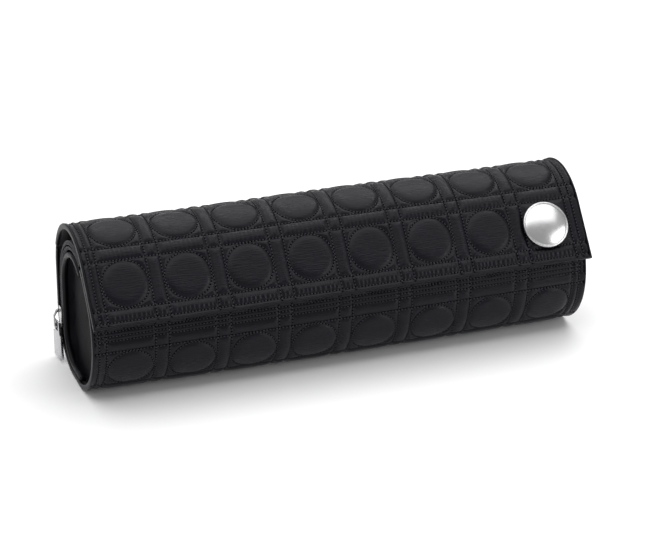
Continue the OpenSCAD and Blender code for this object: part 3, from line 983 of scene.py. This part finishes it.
# ------------------------------------------------------------------------------
# Zip hardware: nickel-plated zinc. The slider rides the left end's teeth, and its pull hangs from a small
# bridge. A stop closes each end of the zip.
def metal_material(name, colour, rough, relief, scale):
    made = bpy.data.materials.new(name)
    made.use_nodes = True
    tree = made.node_tree
    n, l = tree.nodes, tree.links
    surface = n["Principled BSDF"]
    surface.inputs["Metallic"].default_value = 1
    place = n.new("ShaderNodeTexCoord")
    fibres = n.new("ShaderNodeGroup")
    fibres.node_tree = FIBRES
    fibres.inputs["Streak"].default_value = scale
    fibres.inputs["Thread"].default_value = scale
    l.new(place.outputs["Object"], fibres.inputs["Place"])
    low = tuple(c * 0.86 for c in colour)
    l.new(ramp(tree, fibres.outputs["Shade"], low, colour), surface.inputs["Base Color"])
    l.new(ramp(tree, fibres.outputs["Shade"], *rough), surface.inputs["Roughness"])
    bump = n.new("ShaderNodeBump")
    bump.inputs["Strength"].default_value = relief
    bump.inputs["Distance"].default_value = 0.00005
    l.new(fibres.outputs["Relief"], bump.inputs["Height"])
    l.new(bump.outputs[0], surface.inputs["Normal"])
    return made


NICKEL = metal_material("nickel", (0.5, 0.5, 0.51), (0.2, 0.32), 0.15, 900.0)
STEEL = metal_material("steel_plate", (0.45, 0.45, 0.46), (0.35, 0.5), 0.3, 500.0)


def softened(node, name, width, segments, material, body):
    """A copy of a CAD node's shape with its edges rounded."""
    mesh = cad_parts[node].data.copy()
    mesh.name = name
    piece = bpy.data.objects.new(name, mesh)
    link(piece)
    shape = bmesh.new()
    shape.from_mesh(mesh)
    bmesh.ops.remove_doubles(shape, verts=shape.verts, dist=1e-6)
    bmesh.ops.dissolve_limit(shape, angle_limit=math.radians(2), verts=shape.verts, edges=shape.edges)
    bmesh.ops.recalc_face_normals(shape, faces=shape.faces)
    sharp = [e for e in shape.edges if len(e.link_faces) == 2 and e.calc_face_angle(0) > math.radians(25)]
    bmesh.ops.bevel(shape, geom=sharp, offset=width, offset_type="OFFSET", segments=segments,
                    profile=0.5, affect="EDGES", clamp_overlap=True)
    shape.to_mesh(mesh)
    shape.free()
    mesh.shade_smooth()
    wear(piece, material)
    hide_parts(node)
    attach(piece, body)
    return piece


softened("slider_body", "slider_shell", 0.22 * MM, 3, NICKEL, "slider")
softened("slider_bridge", "slider_loop", 0.3 * MM, 3, NICKEL, "slider")
softened("pull_tab", "pull_tab_plate", 0.3 * MM, 3, NICKEL, "pull")
softened("zip_stop_left", "stop_left", 0.2 * MM, 2, NICKEL, "tray")
softened("zip_stop_right", "stop_right", 0.2 * MM, 2, NICKEL, "tray")


# ------------------------------------------------------------------------------
# Press button: a satin chrome cap with a rolled double rim, riveted through the flap to a washer inside.
# A magnet behind it holds the flap to the front.
BUTTON_METAL = metal_material("satin_chrome", (0.56, 0.56, 0.565), (0.2, 0.26), 0.02, 350.0)
BUTTON_X = 141.5 * MM
BUTTON_UP = 26.1 * MM
# Radius and height of the cap's turned outline, from its middle out, over the rim and back underneath.
cap_line = [(0, 4.5), (2, 4.46), (4, 4.33), (6, 4.12), (8, 3.82), (10, 3.44), (11.6, 3.06), (12.9, 2.7),
            (13.7, 2.45), (14.05, 2.25), (14.2, 2.08), (14.3, 2.1), (14.45, 2.35), (14.65, 2.55),
            (14.9, 2.6), (15.25, 2.5), (15.5, 2.2), (15.65, 1.7), (15.7, 1.1), (15.6, 0.5), (15.3, 0.1),
            (14.7, 0.0), (9, 0.0), (3, 0.0)]


def button_frame():
    turn = math.radians(FACE_TURN)
    out = Vector((0, math.cos(turn), math.sin(turn)))
    rise = Vector((0, math.sin(turn), -math.cos(turn)))
    edge = Vector((0, flap_section[1][0][0], flap_section[1][0][1]))
    return edge + rise * BUTTON_UP + Vector((BUTTON_X, 0, 0)), out, rise


def lathe(name, line):
    """Turns an outline in millimetres round the button's axis."""
    middle, out, rise = button_frame()
    side = Vector((1, 0, 0))
    segments = 72
    rings = []
    for radius, height in line:
        radius = max(radius, 0.02)
        ring = []
        for t in np.linspace(0, 2 * math.pi, segments + 1)[:-1]:
            across = (side * math.cos(t) + rise * math.sin(t)) * radius * MM
            place = middle + across + out * (height * MM)
            ring.append(tuple(place))
        rings.append(ring)
    return swept(name, rings)


cap = lathe("button_cap", cap_line)
wear(cap, BUTTON_METAL)
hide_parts("button_dome", "button_rim")
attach(cap, "flap")
for node in ("button_rivet", "button_washer", "snap_magnet"):
    wear(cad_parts[node], STEEL)


# ------------------------------------------------------------------------------
# Base board: a flexible stiffener on the pouch's floor, with its edges rounded.
# It stays with the tray.
BOARD = cloth_material("board", (0.03, 0.03, 0.029), (0.06, 0.06, 0.057), (0.8, 0.6), 0.5,
                       streak=300.0, thread=300.0, uv=False, specular=0.3)
softened("base_board", "floor_board", 0.5 * MM, 3, BOARD, "tray")


# ------------------------------------------------------------------------------
# Table and light: a plain pale surface under one large soft lamp overhead, with a strip behind and a
# smaller lamp in front to the right.
table = build("table", [(-4, -4, 0), (4, -4, 0), (4, 4, 0), (-4, 4, 0)], [(0, 1, 2, 3)], smooth=False)
pale = bpy.data.materials.new("pale_table")
pale.use_nodes = True
pale.node_tree.nodes["Principled BSDF"].inputs["Base Color"].default_value = (0.94, 0.94, 0.945, 1)
pale.node_tree.nodes["Principled BSDF"].inputs["Roughness"].default_value = 0.75
wear(table, pale)
world = bpy.data.worlds.new("world")
world.use_nodes = True
world.node_tree.nodes["Background"].inputs[0].default_value = (1, 1, 1, 1)
world.node_tree.nodes["Background"].inputs[1].default_value = 0.5
bpy.context.scene.world = world


def lamp(name, place, look, size, power):
    light = bpy.data.lights.new(name, "AREA")
    light.shape = "RECTANGLE"
    light.size, light.size_y = size
    light.energy = power
    holder = bpy.data.objects.new(name, light)
    holder.location = place
    holder.rotation_euler = (Vector(look) - Vector(place)).to_track_quat("-Z", "Y").to_euler()
    link(holder)


lamp("overhead", (0, -0.05, 1.3), (0, 0, 0.05), (2.4, 1.6), 21)
lamp("back_strip", (0.35, 0.95, 1.0), (0, 0, 0.05), (1.6, 0.16), 5)
lamp("front_soft", (0.95, -0.85, 0.42), (0, 0, 0.05), (0.7, 0.5), 4.5)
bpy.context.scene.view_settings.view_transform = "Standard"
